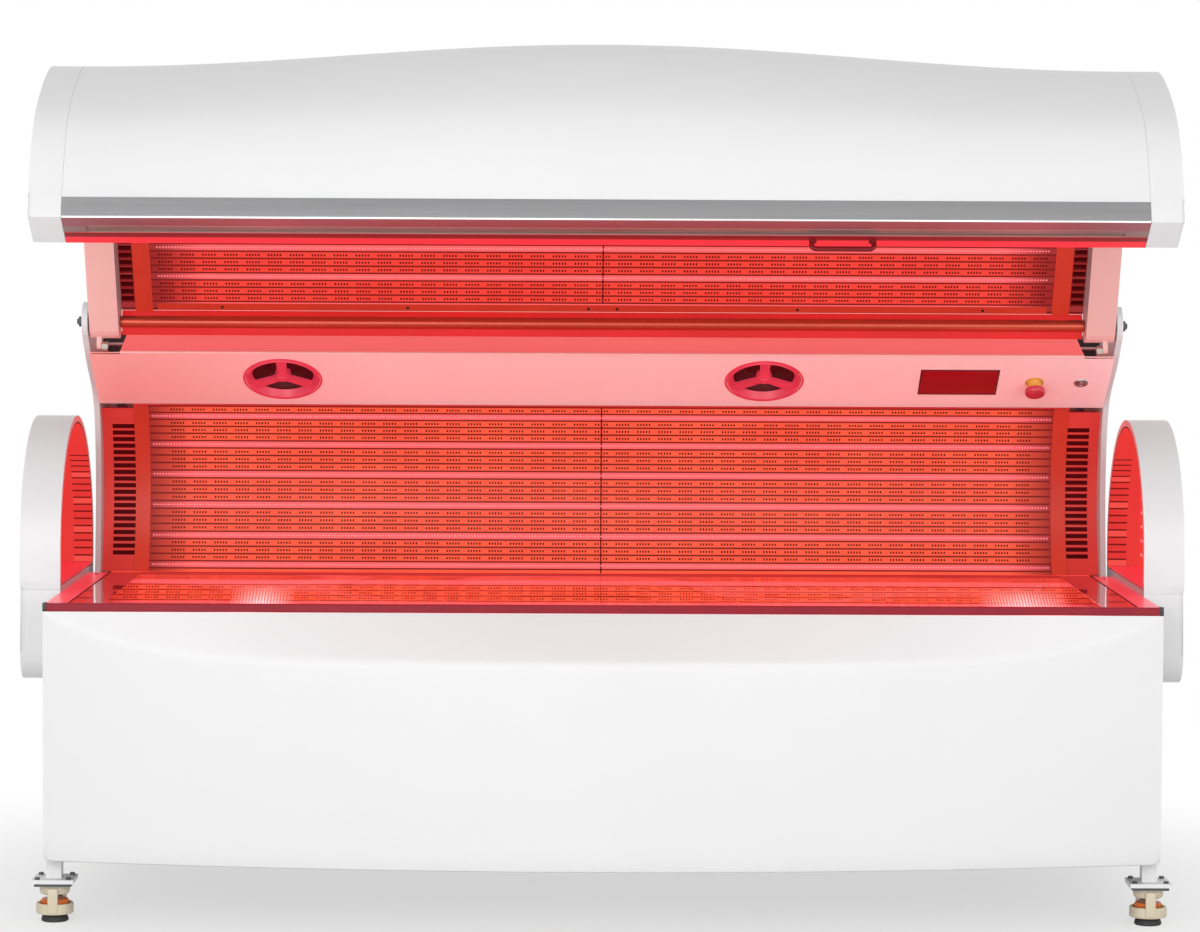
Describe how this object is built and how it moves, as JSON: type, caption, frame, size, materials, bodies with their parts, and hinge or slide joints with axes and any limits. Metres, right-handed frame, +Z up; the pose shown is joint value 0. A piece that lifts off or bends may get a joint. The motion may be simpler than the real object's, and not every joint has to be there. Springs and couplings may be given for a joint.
{
  "type": "red light therapy bed",
  "caption": "Clamshell light therapy bed: bowed white base on levelling casters, acrylic lying surface over LEDs, end domes, tilted console and a hinged LED canopy on gas struts.",
  "frame": {"origin": "middle of the outline on the floor, with the canopy open", "axes": "+X along the bed to the right of someone facing its front, +Y toward its rear wall, +Z up"},
  "size_m": [2.3658, 1.1878, 1.7397],
  "materials": {
    "white_shell": "satin white",
    "white_metal": "powder coated",
    "acrylic": "clear polished",
    "led_board": "lit red",
    "aluminium": "ribbed extrusion",
    "steel": "plated",
    "dark_plastic": "moulded",
    "yellow_plastic": "moulded",
    "red_plastic": "moulded",
    "handle_red": "moulded",
    "cream_plastic": "moulded",
    "black_plastic": "moulded",
    "rubber": "matte"
  },
  "bodies": {
    "base": {"front_panel": "white_shell", "end_panel_left": "white_shell", "end_panel_right": "white_shell", "dome_left": "white_shell", "dome_right": "white_shell", "dome_base_left": "white_shell", "dome_base_right": "white_shell", "console_panel": "white_shell", "bed_rail_left": "white_shell", "bed_rail_right": "white_shell", "side_liner_left": "white_shell", "side_liner_right": "white_shell", "base_frame": "white_metal", "rear_panel": "white_metal", "side_post_left": "white_metal", "side_post_right": "white_metal", "bed_acrylic": "acrylic", "bed_front_trim": "acrylic", "lower_led_tray": "led_board", "rear_led_panel": "led_board", "dome_led_liner_left": "led_board", "dome_led_liner_right": "led_board", "start_bezel": "steel", "power_supply": "dark_plastic", "blower_left": "dark_plastic", "blower_right": "dark_plastic", "mains_inlet": "dark_plastic", "display_screen": "dark_plastic", "estop_collar": "yellow_plastic"},
    "canopy": {"canopy_shell": "white_shell", "canopy_end_cap_left": "white_shell", "canopy_end_cap_right": "white_shell", "canopy_front_rail": "aluminium", "canopy_led_panel": "led_board", "canopy_handle": "handle_red", "hinge_tube": "aluminium", "canopy_arm_left": "white_shell", "canopy_arm_right": "white_shell", "hinge_pin_left": "steel", "hinge_pin_right": "steel"},
    "strut_cylinder_left": {"strut_cylinder_left": "dark_plastic"},
    "strut_rod_left": {"strut_rod_left": "steel"},
    "strut_cylinder_right": {"strut_cylinder_right": "dark_plastic"},
    "strut_rod_right": {"strut_rod_right": "steel"},
    "vent_left": {"vent_nozzle_left": "white_shell"},
    "vent_right": {"vent_nozzle_right": "white_shell"},
    "estop": {"estop_head": "red_plastic"},
    "start": {"start_button": "steel"},
    "caster_front_left": {"caster_body_front_left": "cream_plastic"},
    "wheel_front_left": {"caster_wheel_front_left": "black_plastic"},
    "foot_front_left": {"levelling_foot_front_left": "rubber"},
    "caster_front_right": {"caster_body_front_right": "cream_plastic"},
    "wheel_front_right": {"caster_wheel_front_right": "black_plastic"},
    "foot_front_right": {"levelling_foot_front_right": "rubber"},
    "caster_rear_left": {"caster_body_rear_left": "cream_plastic"},
    "wheel_rear_left": {"caster_wheel_rear_left": "black_plastic"},
    "foot_rear_left": {"levelling_foot_rear_left": "rubber"},
    "caster_rear_right": {"caster_body_rear_right": "cream_plastic"},
    "wheel_rear_right": {"caster_wheel_rear_right": "black_plastic"},
    "foot_rear_right": {"levelling_foot_rear_right": "rubber"}
  },
  "joints": [
    {"name": "canopy_lift", "type": "hinge", "parent": "base", "child": "canopy", "pos_m": [0, 0.2251, 1.176], "axis": [1, 0, 0], "range_deg": [0, 54]},
    {"name": "strut_swing_left", "type": "hinge", "parent": "base", "child": "strut_cylinder_left", "pos_m": [-1.0425, 0.5451, 0.977], "axis": [1, 0, 0], "range_deg": [-5.85, 0.6]},
    {"name": "strut_stroke_left", "type": "slide", "parent": "strut_cylinder_left", "child": "strut_rod_left", "axis": [0, -0.9127, 0.4087], "range_m": [-0.0348, 0.002]},
    {"name": "strut_swing_right", "type": "hinge", "parent": "base", "child": "strut_cylinder_right", "pos_m": [1.0425, 0.5451, 0.977], "axis": [1, 0, 0], "range_deg": [-5.85, 0.6]},
    {"name": "strut_stroke_right", "type": "slide", "parent": "strut_cylinder_right", "child": "strut_rod_right", "axis": [0, -0.9127, 0.4087], "range_m": [-0.0348, 0.002]},
    {"name": "vent_turn_left", "type": "hinge", "parent": "base", "child": "vent_left", "pos_m": [-0.67681, 0.3001, 1.0545], "axis": [0, -0.5384, -0.8427], "range_deg": [-90, 90]},
    {"name": "vent_turn_right", "type": "hinge", "parent": "base", "child": "vent_right", "pos_m": [0.34336, 0.3001, 1.0545], "axis": [0, -0.5384, -0.8427], "range_deg": [-90, 90]},
    {"name": "estop_press", "type": "slide", "parent": "base", "child": "estop", "axis": [0, 0.5384, 0.8427], "range_m": [0, 0.006], "stiffness_N_per_m": 800, "springref_m": -0.006},
    {"name": "start_press", "type": "slide", "parent": "base", "child": "start", "axis": [0, 0.5384, 0.8427], "range_m": [0, 0.003], "stiffness_N_per_m": 500, "springref_m": -0.004},
    {"name": "caster_swivel_front_left", "type": "hinge", "parent": "base", "child": "caster_front_left", "pos_m": [-1.0851, -0.2899, 0.054], "axis": [0, 0, 1], "continuous": true},
    {"name": "wheel_spin_front_left", "type": "hinge", "parent": "caster_front_left", "child": "wheel_front_left", "pos_m": [-1.0851, -0.2289, 0.0235], "axis": [1, 0, 0], "continuous": true},
    {"name": "foot_level_front_left", "type": "slide", "parent": "caster_front_left", "child": "foot_front_left", "axis": [0, 0, 1], "range_m": [-0.004, 0.006]},
    {"name": "caster_swivel_front_right", "type": "hinge", "parent": "base", "child": "caster_front_right", "pos_m": [1.0851, -0.2899, 0.054], "axis": [0, 0, 1], "continuous": true},
    {"name": "wheel_spin_front_right", "type": "hinge", "parent": "caster_front_right", "child": "wheel_front_right", "pos_m": [1.0851, -0.2289, 0.0235], "axis": [1, 0, 0], "continuous": true},
    {"name": "foot_level_front_right", "type": "slide", "parent": "caster_front_right", "child": "foot_front_right", "axis": [0, 0, 1], "range_m": [-0.004, 0.006]},
    {"name": "caster_swivel_rear_left", "type": "hinge", "parent": "base", "child": "caster_rear_left", "pos_m": [-1.0851, 0.4551, 0.054], "axis": [0, 0, 1], "continuous": true},
    {"name": "wheel_spin_rear_left", "type": "hinge", "parent": "caster_rear_left", "child": "wheel_rear_left", "pos_m": [-1.0851, 0.5161, 0.0235], "axis": [1, 0, 0], "continuous": true},
    {"name": "foot_level_rear_left", "type": "slide", "parent": "caster_rear_left", "child": "foot_rear_left", "axis": [0, 0, 1], "range_m": [-0.004, 0.006]},
    {"name": "caster_swivel_rear_right", "type": "hinge", "parent": "base", "child": "caster_rear_right", "pos_m": [1.0851, 0.4551, 0.054], "axis": [0, 0, 1], "continuous": true},
    {"name": "wheel_spin_rear_right", "type": "hinge", "parent": "caster_rear_right", "child": "wheel_rear_right", "pos_m": [1.0851, 0.5161, 0.0235], "axis": [1, 0, 0], "continuous": true},
    {"name": "foot_level_rear_right", "type": "slide", "parent": "caster_rear_right", "child": "foot_rear_right", "axis": [0, 0, 1], "range_m": [-0.004, 0.006]}
  ],
  "couplings": [
    {"joint": "strut_swing_left", "follows": "canopy_lift", "ratio": -0.097224},
    {"joint": "strut_stroke_left", "follows": "canopy_lift", "m_per_rad": -0.034835},
    {"joint": "strut_swing_right", "follows": "canopy_lift", "ratio": -0.097224},
    {"joint": "strut_stroke_right", "follows": "canopy_lift", "m_per_rad": -0.034835}
  ]
}
